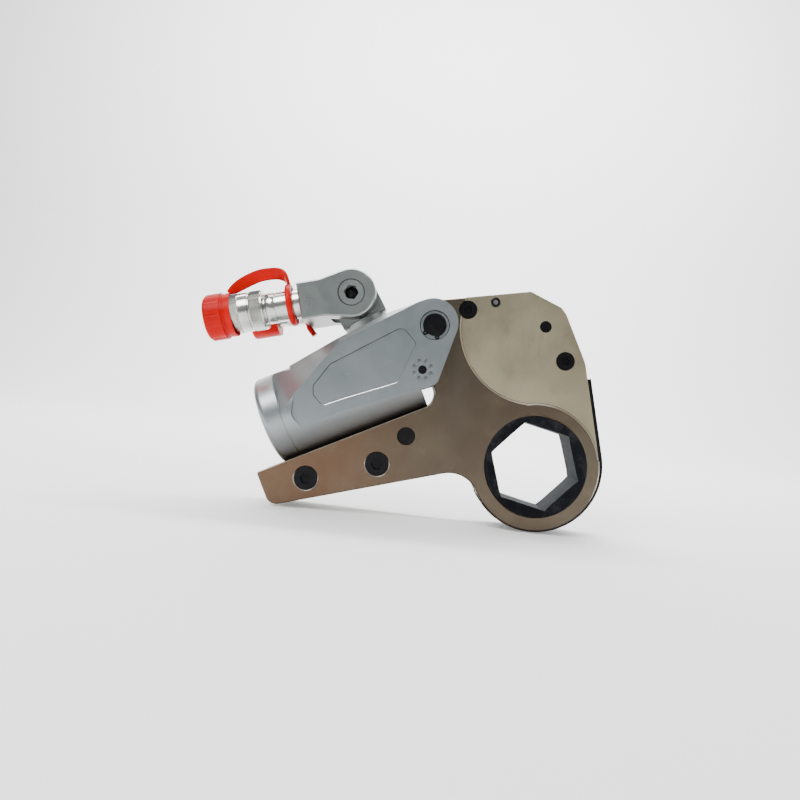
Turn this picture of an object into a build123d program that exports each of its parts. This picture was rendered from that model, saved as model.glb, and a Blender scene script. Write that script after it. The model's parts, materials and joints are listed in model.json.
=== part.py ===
from build123d import *
from math import acos, atan2, cos, degrees, radians, sin, tan
import os

os.makedirs("parts", exist_ok=True)

# Clearances
RUN = 0.05
GAP = 0.3

# Hex link plates, as distances from the mid-plane
PLATE_OUT = 21.25
PLATE_IN = 14.0
PLATE_T = PLATE_OUT - PLATE_IN
COVER_RECESS = 1.75
EDGE = 0.7
NOTCH_FILLET = 23.0
COVER_ARC = (-9.3, 105.6, 57.7)

# Ratchet and hex
HEX_AF = 60.5
HEX_TURN = -12.5
NOSE_TURN = 13.6
JOURNAL_R = 39.0
TEETH = 60
ROOT_R = JOURNAL_R + 4.2
TOOTH_DEPTH = 2.8
TIP_R = ROOT_R + TOOTH_DEPTH
TOOTH_HALF_W = 8.0
BUSH_R = JOURNAL_R + 2.5
BUSH_END = 19.0
LEVER_HUB_R = TIP_R + 0.5
SHROUD_IN = LEVER_HUB_R + 0.8
SHROUD_T = 3.7
SHROUD_REACH = 61.0
HEAD_R = SHROUD_IN + 1.7

# Power head
HEAD_TILT = 27.0
AXIS_V = 106.0
BARREL_R = 35.5
BARREL_BACK = -165.3
CAP_LONG = 16.5
CAP_BACK = BARREL_BACK - CAP_LONG
CAP_ROUND = 4.5
SPIGOT_R = 24.0
SPIGOT_END = -152.0
FLAT_HALF_W = 33.0
FORK_BACK = -60.0
FORK_HALF_W = 21.6
BORE_R = 18.5
GLAND_R = 21.0
GLAND_IN = -78.0
TOP_SLOPE = 5.5
TOP_REF = (-97.0, 146.7)
POCKET_DEPTH = 0.8

# Piston, rod and lever
STROKE = 50.0
PISTON_BACK = -150.5
PISTON_T = 16.0
ROD_R = 12.0
ROD_STUD_R = 7.5
ROD_FRONT = -50.0
PIN_RADIUS = 107.5
PIN_R = 8.0
BLADE_HALF_T = 7.9
BLADE_HALF_H = 13.0
SLOT_HALF_TRAVEL = 1.6
SLOT_RUN = 0.1
CHEEK_IN = 8.2
CHEEK_OUT = 13.8
BOSS_R = 13.0
PAWL_HALF_W = 12.0
PAWL_TOP = TIP_R + 16.0
POCKET_TOP = PAWL_TOP + 6.0
WEB_TOP = POCKET_TOP + 18.0
WEB_HALF_W = PAWL_HALF_W + 8.0

# Reaction pin and fasteners, centres in the X-Z plane
REACTION_UV = (-33.3, 128.1)
REACTION_R = 8.0
REACTION_BORE = 11.3
REACTION_FLOOR = 31.0
TAIL_SCREWS = ((-174.7, -27.1), (-121.1, -10.7))
LINK_SCREWS = ((-63.3, 114.9), (15.0, 82.9))
TAIL_DOWEL = (-100.9, 13.1)
STOP_PIN = (-2.5, 107.8)
PLUNGER = (-42.8, 122.7)
PLUG_UV = (-54.1, 100.1)

# Swivel and couplers
POST_LEAN = 32.5
POST_BASE_UV = (-80.6, TOP_REF[1] + (-80.6 - TOP_REF[0]) * tan(radians(TOP_SLOPE)))
POST_DISC_R = 18.0
POST_DISC_T = 7.0
POST_STEM_R = 9.0
POST_STEM = 12.0
PIVOT_UP = 26.0
PIVOT_R = 8.0
LUG_HALF_T = 13.0
ARM_IN = 13.3
ARM_OUT = 33.0
ARM_R = 18.4
ARM_DROP = 15.0
BLOCK_BACK = 20.5
BLOCK_END = 40.5
BLOCK_HALF_H = 14.25
COUPLER_Y = 18.5
NECK_R = 11.5
BODY_R = 11.75
SLEEVE_R = 15.5
SLEEVE_FROM = 68.4
SLEEVE_TO = 97.8
FRONT_BODY_END = 96.0
BODY_STEP = 58.5
FLAT_FROM = 60.5
FLAT_LONG = 5.5
FRONT_CAP = (93.0, 114.2, 18.0)
REAR_BODY_END = 84.0
REAR_CAP = (66.0, 88.0, 17.0)

# Reference planes: SIDE looks from the camera side, HEAD is turned to the cylinder
C_HEAD = cos(radians(HEAD_TILT))
S_HEAD = sin(radians(HEAD_TILT))
C_POST = cos(radians(POST_LEAN))
S_POST = sin(radians(POST_LEAN))
C_ARM = cos(radians(ARM_DROP))
S_ARM = sin(radians(ARM_DROP))


def xz(u, v):
    """A point of the tilted power head, in the X-Z plane."""
    return (u * C_HEAD - v * S_HEAD, u * S_HEAD + v * C_HEAD)


def side(x, z, toward_camera=0.0):
    """Plane looking along +Y, moved toward the camera."""
    return Plane(origin=(x, -toward_camera, z), x_dir=(1, 0, 0), z_dir=(0, -1, 0))


def head(u, v, toward_camera=0.0):
    """The same, turned so that local x runs along the cylinder."""
    x, z = xz(u, v)
    origin = (x, -toward_camera, z)
    return Plane(origin=origin, x_dir=(C_HEAD, 0, S_HEAD), z_dir=(0, -1, 0))


def along(u, v=AXIS_V, y=0.0):
    """Plane across the cylinder at the station u, facing the nose."""
    x, z = xz(u, v)
    return Plane(origin=(x, y, z), x_dir=(0, 1, 0), z_dir=(C_HEAD, 0, S_HEAD))


POST_X, POST_Z = xz(*POST_BASE_UV)
PIVOT = (POST_X - PIVOT_UP * S_POST, POST_Z + PIVOT_UP * C_POST)


def post(height, y=0.0):
    """Plane across the swivel post at a height over the housing."""
    origin = (POST_X - height * S_POST, y, POST_Z + height * C_POST)
    return Plane(origin=origin, x_dir=(C_POST, 0, S_POST), z_dir=(-S_POST, 0, C_POST))


def arm_side(y=0.0):
    """Plane of the manifold's side outline: local x runs out to the couplers."""
    return Plane(origin=(PIVOT[0], y, PIVOT[1]), x_dir=(-C_ARM, 0, -S_ARM), z_dir=(0, 1, 0))


def arm_top():
    """Plane of the manifold's plan: local x runs out, local y to the rear."""
    return Plane(origin=(PIVOT[0], 0, PIVOT[1]), x_dir=(-C_ARM, 0, -S_ARM), z_dir=(S_ARM, 0, -C_ARM))


def outlet(s, y):
    """Plane across a coupler, s out from the pivot."""
    origin = (PIVOT[0] - s * C_ARM, y, PIVOT[1] - s * S_ARM)
    return Plane(origin=origin, x_dir=(0, 1, 0), z_dir=(-C_ARM, 0, -S_ARM))


# Drive lever plane: local y runs from the hex to the drive pin at rest
PIN_DROP = (PIN_RADIUS**2 - (STROKE / 2) ** 2) ** 0.5
PIN_UV = (-STROKE / 2, PIN_DROP)
PIN_X, PIN_Z = xz(*PIN_UV)
LEVER = Plane(
    origin=(0, 0, 0),
    x_dir=(PIN_Z / PIN_RADIUS, 0, -PIN_X / PIN_RADIUS),
    z_dir=(0, -1, 0),
)


def bar(plane, radius, length, mode=Mode.ADD):
    """Round bar or round hole from a plane."""
    with BuildSketch(plane) as face:
        Circle(radius)
    extrude(face.sketch, amount=length, mode=mode)


def tube(plane, outer, inner, length, mode=Mode.ADD):
    """Ring from a plane."""
    with BuildSketch(plane) as face:
        Circle(outer)
        Circle(inner, mode=Mode.SUBTRACT)
    extrude(face.sketch, amount=length, mode=mode)


def key_hole(plane, across_flats, length):
    """Hexagon socket from a plane."""
    with BuildSketch(plane) as face:
        RegularPolygon(across_flats / 2, 6, major_radius=False)
    extrude(face.sketch, amount=length, mode=Mode.SUBTRACT)


def slab(plane, corners, length, both=False, mode=Mode.ADD):
    """Prism on an outline of (x, y, corner radius) points."""
    with BuildSketch(plane) as face:
        with BuildLine():
            Polyline([(x, y) for x, y, r in corners], close=True)
        make_face()
        for x, y, r in corners:
            if r > 0:
                fillet(face.vertices().sort_by_distance((x, y, 0))[0], r)
    extrude(face.sketch, amount=length, both=both, mode=mode)


def cone(plane, radius, length, taper, mode=Mode.ADD):
    """Round frustum from a plane; a negative taper widens it."""
    with BuildSketch(plane) as face:
        Circle(radius)
    extrude(face.sketch, amount=length, taper=taper, mode=mode)


def floor_plane(x, z, near):
    """Plane on the recess floor of a side plate, facing out of the plate."""
    y = -near * (PLATE_OUT - COVER_RECESS)
    return Plane(origin=(x, y, z), x_dir=(1, 0, 0), z_dir=(0, -near, 0))


def tail_bottom(x):
    """Height of the link's straight bottom edge."""
    return -22.0 + tan(radians(16.4)) * (x + 101.9)


def nose_edge(radius, up_by):
    """Point on the straight nose edge that leaves a circle round the hex at NOSE_TURN."""
    c, s = cos(radians(NOSE_TURN)), sin(radians(NOSE_TURN))
    return (radius * c - up_by * s, radius * s + up_by * c)


# Side plates of the cassette
TAIL_V = AXIS_V - (BARREL_R**2 - PLATE_IN**2) ** 0.5 - 0.38
TAIL_U = -201.9
LINK_LEFT_U = -50.5
TAIL_CORNER = (-200.6, tail_bottom(-200.6))
TAIL_TOP = xz(TAIL_U, TAIL_V)
INNER_CORNER = xz(LINK_LEFT_U, TAIL_V)
LUG_CORNER = xz(LINK_LEFT_U, 154.5)


def plate_blank(near):
    """Plate with its outline, recess and holes; near is 1 at the camera, -1 behind."""
    inner = side(0, 0, near * PLATE_IN)
    corners = [
        (*TAIL_CORNER, 9.0),
        (-40.0, tail_bottom(-40.0), 0),
        (10.0, -20.0, 0),
        (*nose_edge(HEAD_R, 0.0), 0),
        (*nose_edge(HEAD_R, 73.5), 25.0),
        (12.2, 118.8, 4.0),
        (8.0, 123.6, 4.0),
        (-16.5, 133.7, 4.0),
        (*LUG_CORNER, 18.3),
        (*INNER_CORNER, 12.0),
        (*TAIL_TOP, 1.5),
    ]
    slab(inner, corners, near * PLATE_T)
    bar(inner, HEAD_R, near * PLATE_T)
    notch = edges().filter_by(Axis.Y).filter_by(lambda e: e.center().X < -30 and e.center().Z < 0)
    on_head = notch.filter_by(lambda e: abs(Vector(e.center().X, 0, e.center().Z).length - HEAD_R) < 0.01)
    fillet(on_head, NOTCH_FILLET)
    outer_face = faces().filter_by(Axis.Y).sort_by(Axis.Y)[0 if near > 0 else -1]
    chamfer(outer_face.outer_wire().edges(), EDGE)
    floor = near * (PLATE_OUT - COVER_RECESS)
    cone(floor_plane(COVER_ARC[0], COVER_ARC[1], near), COVER_ARC[2], COVER_RECESS, -42, Mode.SUBTRACT)
    right = [(0.0, 38.0, 0), (60.0, 2.0, 0), (80.0, 60.0, 0), (80.0, 140.0, 0), (0.0, 140.0, 0)]
    slab(side(0, 0, floor), right, near * COVER_RECESS, mode=Mode.SUBTRACT)
    cone(floor_plane(0.0, 0.0, near), HEAD_R - 0.02, COVER_RECESS, 42, Mode.ADD)
    bar(inner, BUSH_R, near * (BUSH_END - PLATE_IN), Mode.SUBTRACT)
    bar(inner, JOURNAL_R + 0.35, near * PLATE_T, Mode.SUBTRACT)
    for x, z in (TAIL_DOWEL,):
        bar(side(x, z, near * PLATE_IN), 7.0, near * PLATE_T, Mode.SUBTRACT)
    bar(side(*STOP_PIN, near * PLATE_IN), 4.5, near * PLATE_T, Mode.SUBTRACT)
    bar(side(*xz(*REACTION_UV), near * PLATE_IN), REACTION_R, near * PLATE_T, Mode.SUBTRACT)
    for x, z in TAIL_SCREWS + LINK_SCREWS:
        bar(side(x, z, near * PLATE_IN), 4.0, near * PLATE_T, Mode.SUBTRACT)


with BuildPart() as plate_front:
    plate_blank(1)
    for x, z in TAIL_SCREWS:
        bar(side(x, z, PLATE_OUT), 9.2, -5.0, Mode.SUBTRACT)
    for x, z in LINK_SCREWS:
        bar(side(x, z, PLATE_OUT), 7.2, -5.2, Mode.SUBTRACT)
    bar(side(*PLUNGER, PLATE_IN), 3.4, PLATE_T, Mode.SUBTRACT)
    round_edges = plate_front.edges().filter_by(GeomType.CIRCLE)
    rims = round_edges.filter_by(lambda e: abs(e.center().Y + PLATE_OUT) < 0.01)
    chamfer(rims.filter_by(lambda e: 8.0 < e.radius < 10.0 and e.length > 50), 0.6)
plate_front.part.label = "plate_front"
export_step(plate_front.part, "parts/plate_front.step")

with BuildPart() as plate_rear:
    plate_blank(-1)
plate_rear.part.label = "plate_rear"
export_step(plate_rear.part, "parts/plate_rear.step")

# Spacer block in the tail, between the plates
SPACER_V = AXIS_V - BARREL_R - 2.5
SPACER_FRONT_X = -78.0
SPACER_BACK_X = -194.0
with BuildPart() as tail_spacer:
    top_front = xz((SPACER_FRONT_X + SPACER_V * S_HEAD) / C_HEAD, SPACER_V)
    block = [
        (SPACER_BACK_X, tail_bottom(SPACER_BACK_X), 4.0),
        (SPACER_FRONT_X, tail_bottom(SPACER_FRONT_X), 3.0),
        (*top_front, 5.0),
        (*xz(TAIL_U + 5.9, SPACER_V), 4.0),
    ]
    slab(side(0, 0), block, PLATE_IN, both=True)
    for x, z in TAIL_SCREWS:
        bar(side(x, z, PLATE_IN), 4.0, -2 * PLATE_IN, Mode.SUBTRACT)
    bar(side(*TAIL_DOWEL, PLATE_IN), 7.0, -2 * PLATE_IN, Mode.SUBTRACT)
tail_spacer.part.label = "tail_spacer"
export_step(tail_spacer.part, "parts/tail_spacer.step")

# Nose shroud: a strip that closes the gap between the plates round the teeth
with BuildPart() as shroud:
    out_r = SHROUD_IN + SHROUD_T + 0.5
    with BuildSketch(side(0, 0)) as band:
        with Locations((1.5, 0.5)):
            Circle(out_r)
        with BuildLine():
            Polyline(
                [
                    (nose_edge(out_r, 0)[0] + 1.5, nose_edge(out_r, 0)[1] + 0.5),
                    (nose_edge(out_r, SHROUD_REACH)[0] + 1.5, nose_edge(out_r, SHROUD_REACH)[1] + 0.5),
                    nose_edge(SHROUD_IN, SHROUD_REACH),
                    nose_edge(SHROUD_IN, 0),
                ],
                close=True,
            )
        make_face()
        Circle(SHROUD_IN, mode=Mode.SUBTRACT)
        with BuildLine():
            Polyline(
                [
                    nose_edge(SHROUD_IN, 0),
                    nose_edge(SHROUD_IN, SHROUD_REACH + 5),
                    (-70.0, SHROUD_REACH + 20.0),
                    (-70.0, -44.0),
                    (0.0, 0.0),
                ],
                close=True,
            )
        make_face(mode=Mode.SUBTRACT)
    extrude(band.sketch, amount=PLATE_IN, both=True)
shroud.part.label = "shroud"
export_step(shroud.part, "parts/shroud.step")

# Bronze bushes for the ratchet journals
with BuildPart() as bush_front:
    tube(side(0, 0, PLATE_IN), BUSH_R, JOURNAL_R + RUN, BUSH_END - PLATE_IN)
bush_front.part.label = "bush_front"
export_step(bush_front.part, "parts/bush_front.step")

with BuildPart() as bush_rear:
    tube(side(0, 0, -PLATE_IN), BUSH_R, JOURNAL_R + RUN, PLATE_IN - BUSH_END)
bush_rear.part.label = "bush_rear"
export_step(bush_rear.part, "parts/bush_rear.step")


# Ratchet teeth: a long ramp and a short drive flank, shared by wheel and pawl
def on_wheel(radius, angle):
    return (radius * cos(radians(angle)), radius * sin(radians(angle)))


def tooth_ring(offset, first=0, count=TEETH):
    """Sawtooth points, offset outward for the pawl's matching teeth."""
    pitch = 360 / TEETH
    points = []
    for i in range(first, first + count):
        start = i * pitch
        points.append(on_wheel(ROOT_R + offset, start + 0.25))
        points.append(on_wheel(TIP_R + offset, start + 4.3))
        points.append(on_wheel(TIP_R + offset, start + 4.75))
        points.append(on_wheel(ROOT_R + offset, start + 5.95))
    return points


with BuildPart() as ratchet:
    with BuildSketch(side(0, 0)) as wheel:
        with BuildLine():
            Polyline(tooth_ring(0.0), close=True)
        make_face()
    extrude(wheel.sketch, amount=TOOTH_HALF_W, both=True)
    bar(side(0, 0, -PLATE_OUT), JOURNAL_R, 2 * PLATE_OUT)
    with BuildSketch(side(0, 0, -PLATE_OUT)) as hex_face:
        RegularPolygon(HEX_AF / 2, 6, major_radius=False, rotation=HEX_TURN)
    extrude(hex_face.sketch, amount=2 * PLATE_OUT, mode=Mode.SUBTRACT)
    for near in (1, -1):
        face_plane = Plane(origin=(0, -near * PLATE_OUT, 0), x_dir=(1, 0, 0), z_dir=(0, near, 0))
        cone(face_plane, 36.4, 3.5, 50, Mode.SUBTRACT)
ratchet.part.label = "ratchet"
export_step(ratchet.part, "parts/ratchet.step")

# Drive lever: two cheeks on the journals, a web with the pawl's slide, a forked boss
TANGENT = degrees(acos((LEVER_HUB_R - BOSS_R) / PIN_RADIUS))


def boss_point(radius, base, angle):
    return (radius * cos(radians(angle)), base + radius * sin(radians(angle)))


with BuildPart() as lever:
    with BuildSketch(LEVER) as cheek:
        Circle(LEVER_HUB_R)
        with Locations((0, PIN_RADIUS)):
            Circle(BOSS_R)
        with BuildLine():
            Polyline(
                [
                    boss_point(LEVER_HUB_R, 0, 90 - TANGENT),
                    boss_point(BOSS_R, PIN_RADIUS, 90 - TANGENT),
                    boss_point(BOSS_R, PIN_RADIUS, 90 + TANGENT),
                    boss_point(LEVER_HUB_R, 0, 90 + TANGENT),
                ],
                close=True,
            )
        make_face()
    extrude(cheek.sketch, amount=CHEEK_OUT, both=True)
    with BuildSketch(LEVER) as clear:
        Circle(LEVER_HUB_R + 0.6)
        with Locations((0, WEB_TOP + 30)):
            Rectangle(80, 60)
        for hand in (-1, 1):
            with Locations((hand * (WEB_HALF_W + 20), 45)):
                Rectangle(40, 90)
        with Locations((0, POCKET_TOP / 2 + 10)):
            Rectangle(2 * (PAWL_HALF_W + RUN), POCKET_TOP - 20)
    extrude(clear.sketch, amount=CHEEK_IN, both=True, mode=Mode.SUBTRACT)
    bar(LEVER.offset(-CHEEK_OUT), JOURNAL_R + RUN, 2 * CHEEK_OUT, Mode.SUBTRACT)
    pin_spot = Plane(origin=(PIN_X, CHEEK_OUT, PIN_Z), x_dir=LEVER.x_dir, z_dir=(0, -1, 0))
    bar(pin_spot, PIN_R, 2 * CHEEK_OUT, Mode.SUBTRACT)
    spring_seat = Plane(
        origin=LEVER.from_local_coords((0, POCKET_TOP, 0)),
        x_dir=(0, 1, 0),
        z_dir=LEVER.y_dir,
    )
    bar(spring_seat.offset(-1), 4.4, 11.0, Mode.SUBTRACT)
lever.part.label = "lever"
export_step(lever.part, "parts/lever.step")

# Pawl: a block with five teeth that mesh with the wheel
PAWL_GAP = 0.15
with BuildPart() as pawl:
    with BuildSketch(LEVER) as blank:
        with Locations((0, (PAWL_TOP + ROOT_R - 3.0) / 2)):
            Rectangle(2 * PAWL_HALF_W, PAWL_TOP - ROOT_R + 3.0)
    extrude(blank.sketch, amount=BLADE_HALF_T, both=True)
    with BuildSketch(side(0, 0)) as meshing:
        with BuildLine():
            Polyline(tooth_ring(PAWL_GAP), close=True)
        make_face()
    extrude(meshing.sketch, amount=BLADE_HALF_T + 1, both=True, mode=Mode.SUBTRACT)
    pawl_seat = Plane(
        origin=LEVER.from_local_coords((0, PAWL_TOP, 0)), x_dir=(0, 1, 0), z_dir=LEVER.y_dir
    )
    bar(pawl_seat, 4.4, -4.0, Mode.SUBTRACT)
pawl.part.label = "pawl"
export_step(pawl.part, "parts/pawl.step")

# Pawl spring, a coil between the pawl's seat and the lever's web
SPRING_FROM = PAWL_TOP - 4.0
SPRING_TO = POCKET_TOP + 10.0
with BuildPart() as pawl_spring:
    coil_base = Plane(
        origin=LEVER.from_local_coords((0, SPRING_FROM + 0.6, 0)), x_dir=(0, 1, 0), z_dir=LEVER.y_dir
    )
    coil = coil_base * Helix(pitch=2.6, height=SPRING_TO - SPRING_FROM - 1.2, radius=3.3)
    with BuildSketch(Plane(origin=coil @ 0, z_dir=coil % 0)) as wire:
        RegularPolygon(0.6, 6)
    sweep(wire.sketch, path=coil, is_frenet=True)
pawl_spring.part.label = "pawl_spring"
export_step(pawl_spring.part, "parts/pawl_spring.step")

# Drive pin through the boss and the rod end
with BuildPart() as drive_pin:
    bar(pin_spot.offset(0.2), PIN_R, 2 * CHEEK_OUT - 0.4)
    chamfer(drive_pin.edges(), 0.6)
drive_pin.part.label = "drive_pin"
export_step(drive_pin.part, "parts/drive_pin.step")

# Screws of the tail, heads sunk in the front plate, threads in the rear plate
with BuildPart() as tail_screws:
    for x, z in TAIL_SCREWS:
        bar(side(x, z, -PLATE_OUT + 0.6), 4.0, 2 * PLATE_OUT - 5.6)
        bar(side(x, z, PLATE_OUT - 5.0), 9.0, 4.5)
        key_hole(side(x, z, PLATE_OUT - 0.5), 8.0, -3.0)
tail_screws.part.label = "tail_screws"
export_step(tail_screws.part, "parts/tail_screws.step")

# Screws of the cover zone and the sleeves that keep the plates apart
with BuildPart() as link_screws:
    for x, z in LINK_SCREWS:
        bar(side(x, z, -PLATE_OUT + COVER_RECESS + 0.5), 4.0, 2 * PLATE_OUT - COVER_RECESS - 5.7)
        bar(side(x, z, PLATE_OUT - 5.2), 7.0, 3.2)
        key_hole(side(x, z, PLATE_OUT - 2.0), 6.0, -2.2)
link_screws.part.label = "link_screws"
export_step(link_screws.part, "parts/link_screws.step")

with BuildPart() as link_sleeves:
    for x, z in LINK_SCREWS:
        tube(side(x, z, PLATE_IN), 7.5, 4.0, -2 * PLATE_IN)
link_sleeves.part.label = "link_sleeves"
export_step(link_sleeves.part, "parts/link_sleeves.step")

# Plain pins
with BuildPart() as tail_dowel:
    bar(side(*TAIL_DOWEL, PLATE_OUT - 0.4), 7.0, -2 * PLATE_OUT + 0.8)
    chamfer(tail_dowel.edges(), 0.5)
tail_dowel.part.label = "tail_dowel"
export_step(tail_dowel.part, "parts/tail_dowel.step")

with BuildPart() as stop_pin:
    bar(side(*STOP_PIN, PLATE_OUT - COVER_RECESS - 0.3), 4.5, -2 * (PLATE_OUT - COVER_RECESS - 0.3))
    chamfer(stop_pin.edges(), 0.4)
stop_pin.part.label = "stop_pin"
export_step(stop_pin.part, "parts/stop_pin.step")

with BuildPart() as plunger:
    bar(side(*PLUNGER, 9.0), 3.4, PLATE_OUT - COVER_RECESS - 9.0 + 0.6)
    fillet(plunger.faces().sort_by(Axis.Y)[0].edges(), 0.8)
plunger.part.label = "plunger"
export_step(plunger.part, "parts/plunger.step")

# Cylinder housing with the fork ears
EAR_UV = (-33.5, 130.0)
EAR_R = 18.6


def top_v(u):
    return TOP_REF[1] + (u - TOP_REF[0]) * tan(radians(TOP_SLOPE))


def facet(points, near):
    """Plane through three (u, v, toward camera) points, facing out of the housing."""
    p1, p2, p3 = [Vector(*head(0, 0).from_local_coords(p)) for p in points]
    outward = (p2 - p1).cross(p3 - p1).normalized()
    if outward.Y * near > 0:
        outward = outward * -1
    return Plane(origin=p1, z_dir=outward)


with BuildPart() as housing:
    bar(along(BARREL_BACK), BARREL_R, FORK_BACK - BARREL_BACK)
    block = [
        (-150.0, 100.0, 0),
        (-150.0, top_v(-150.0), 0),
        (-61.0, top_v(-61.0), 10.0),
        (EAR_UV[0], EAR_UV[1] + EAR_R, 0),
        (*EAR_UV, 0),
        (EAR_UV[0] + EAR_R * 0.745, EAR_UV[1] - EAR_R * 0.667, 0),
        (-47.9, 86.0, 6.0),
        (-77.0, 88.9, 6.0),
        (-140.0, 94.5, 0),
    ]
    bar(head(*EAR_UV, -FLAT_HALF_W), EAR_R, 2 * FLAT_HALF_W)
    slab(head(0, 0), block, FLAT_HALF_W, both=True)
    slab(
        head(0, 0),
        [(FORK_BACK, 40.0, 0), (40.0, 40.0, 0), (40.0, 180.0, 0), (FORK_BACK, 180.0, 0)],
        FORK_HALF_W,
        both=True,
        mode=Mode.SUBTRACT,
    )
    for near in (1, -1):
        flat = [
            (-154.6, 92.0, 3.0),
            (-159.0, 103.0, 9.0),
            (-149.9, 122.0, 3.0),
            (-60.0, 160.0, 0),
            (20.0, 160.0, 0),
            (20.0, 60.0, 0),
            (-70.0, 60.0, 0),
        ]
        slab(head(0, 0, near * FLAT_HALF_W), flat, near * 6.0, mode=Mode.SUBTRACT)
    for near in (1, -1):
        shoulder = [(-149.9, 119.0, near * 33.0), (-107.7, 141.0, near * 33.0), (-150.0, 141.5, near * 12.0)]
        split(bisect_by=facet(shoulder, near), keep=Keep.BOTTOM)
        brow = [
            (-150.0, top_v(-150.0), near * 29.5),
            (-60.0, top_v(-60.0), near * 29.5),
            (-60.0, top_v(-60.0) - 3.5, near * 33.0),
        ]
        split(bisect_by=facet(brow, near), keep=Keep.BOTTOM)
    bar(along(SPIGOT_END), BORE_R, GLAND_IN - SPIGOT_END, Mode.SUBTRACT)
    bar(along(BARREL_BACK), SPIGOT_R, SPIGOT_END - BARREL_BACK, Mode.SUBTRACT)
    bar(along(GLAND_IN), GLAND_R, FORK_BACK - GLAND_IN, Mode.SUBTRACT)
    bar(post(0), POST_STEM_R + RUN, -POST_STEM, Mode.SUBTRACT)
    bar(post(-POST_STEM), 2.5, -14.0, Mode.SUBTRACT)
    ring_floor = head(*REACTION_UV, -40.0)
    bar(ring_floor, REACTION_R, 80.0, Mode.SUBTRACT)
    for near in (1, -1):
        bar(head(*REACTION_UV, near * REACTION_FLOOR), REACTION_BORE, near * 4.0, Mode.SUBTRACT)
        pocket = [
            (-135.5, 119.0, 2.5),
            (-117.5, 129.5, 5.0),
            (-56.0, 136.0, 6.5),
            (-51.0, 120.0, 3.0),
            (-75.0, 97.8, 4.0),
            (-118.0, 101.2, 5.0),
            (-134.5, 101.9, 5.0),
            (-138.0, 112.0, 4.0),
        ]
        slab(head(0, 0, near * FLAT_HALF_W), pocket, -near * POCKET_DEPTH, mode=Mode.SUBTRACT)
        bar(head(*PLUG_UV, near * FLAT_HALF_W), 3.25, -near * 8.0, Mode.SUBTRACT)
        for k in range(8):
            du = 6.9 * cos(radians(45 * k))
            dv = 6.9 * sin(radians(45 * k))
            spot = head(PLUG_UV[0] + du, PLUG_UV[1] + dv, near * FLAT_HALF_W)
            inward = Plane(origin=spot.origin, x_dir=spot.x_dir, z_dir=(0, near, 0))
            cone(inward, 1.7, 1.2, 45, Mode.SUBTRACT)
housing.part.label = "housing"
export_step(housing.part, "parts/housing.step")

# End cap, screwed into the barrel
with BuildPart() as end_cap:
    bar(along(CAP_BACK), BARREL_R, BARREL_BACK - CAP_BACK)
    fillet(end_cap.edges().sort_by(Axis((0, 0, 0), (C_HEAD, 0, S_HEAD)))[0], CAP_ROUND)
    bar(along(BARREL_BACK), SPIGOT_R, SPIGOT_END - BARREL_BACK)
    tube(along(SPIGOT_END), SPIGOT_R + 1, SPIGOT_R - 1.2, -1.6, Mode.SUBTRACT)
    tube(along(BARREL_BACK), BARREL_R + 1, BARREL_R - 0.6, -0.9, Mode.SUBTRACT)
    for hand in (-1, 1):
        bar(along(CAP_BACK, y=hand * 20.0), 3.0, 7.0, Mode.SUBTRACT)
end_cap.part.label = "end_cap"
export_step(end_cap.part, "parts/end_cap.step")

# Gland, rod seal and the piston group
with BuildPart() as gland:
    tube(along(GLAND_IN), GLAND_R, ROD_R + RUN, FORK_BACK - GLAND_IN)
    tube(along(GLAND_IN + 6.0), ROD_R + 2.6, ROD_R, 4.0, Mode.SUBTRACT)
    for hand in (-1, 1):
        bar(along(FORK_BACK, y=hand * 16.5), 2.0, -5.0, Mode.SUBTRACT)
gland.part.label = "gland"
export_step(gland.part, "parts/gland.step")

with BuildPart() as rod_seal:
    tube(along(GLAND_IN + 6.2), ROD_R + 2.5, ROD_R + RUN, 3.6)
rod_seal.part.label = "rod_seal"
export_step(rod_seal.part, "parts/rod_seal.step")

with BuildPart() as piston:
    tube(along(PISTON_BACK), BORE_R - RUN, ROD_STUD_R, PISTON_T)
    tube(along(PISTON_BACK + 6.0), BORE_R, BORE_R - 3.0, 4.0, Mode.SUBTRACT)
    tube(along(PISTON_BACK), 12.0, ROD_STUD_R, 4.0, Mode.SUBTRACT)
piston.part.label = "piston"
export_step(piston.part, "parts/piston.step")

with BuildPart() as piston_seal:
    tube(along(PISTON_BACK + 6.1), BORE_R - RUN, BORE_R - 2.9, 3.8)
piston_seal.part.label = "piston_seal"
export_step(piston_seal.part, "parts/piston_seal.step")

with BuildPart() as piston_nut:
    with BuildSketch(along(PISTON_BACK + 0.3)) as nut:
        RegularPolygon(11.6, 6)
        Circle(ROD_STUD_R, mode=Mode.SUBTRACT)
    extrude(nut.sketch, amount=3.7)
piston_nut.part.label = "piston_nut"
export_step(piston_nut.part, "parts/piston_nut.step")

with BuildPart() as rod:
    rod_start = PISTON_BACK + PISTON_T
    bar(along(rod_start), ROD_R, ROD_FRONT - rod_start)
    bar(along(PISTON_BACK + 0.3), ROD_STUD_R, PISTON_T - 0.3)
    bar(along(ROD_FRONT), ROD_STUD_R, -16.0, Mode.SUBTRACT)
rod.part.label = "rod"
export_step(rod.part, "parts/rod.step")

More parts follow.
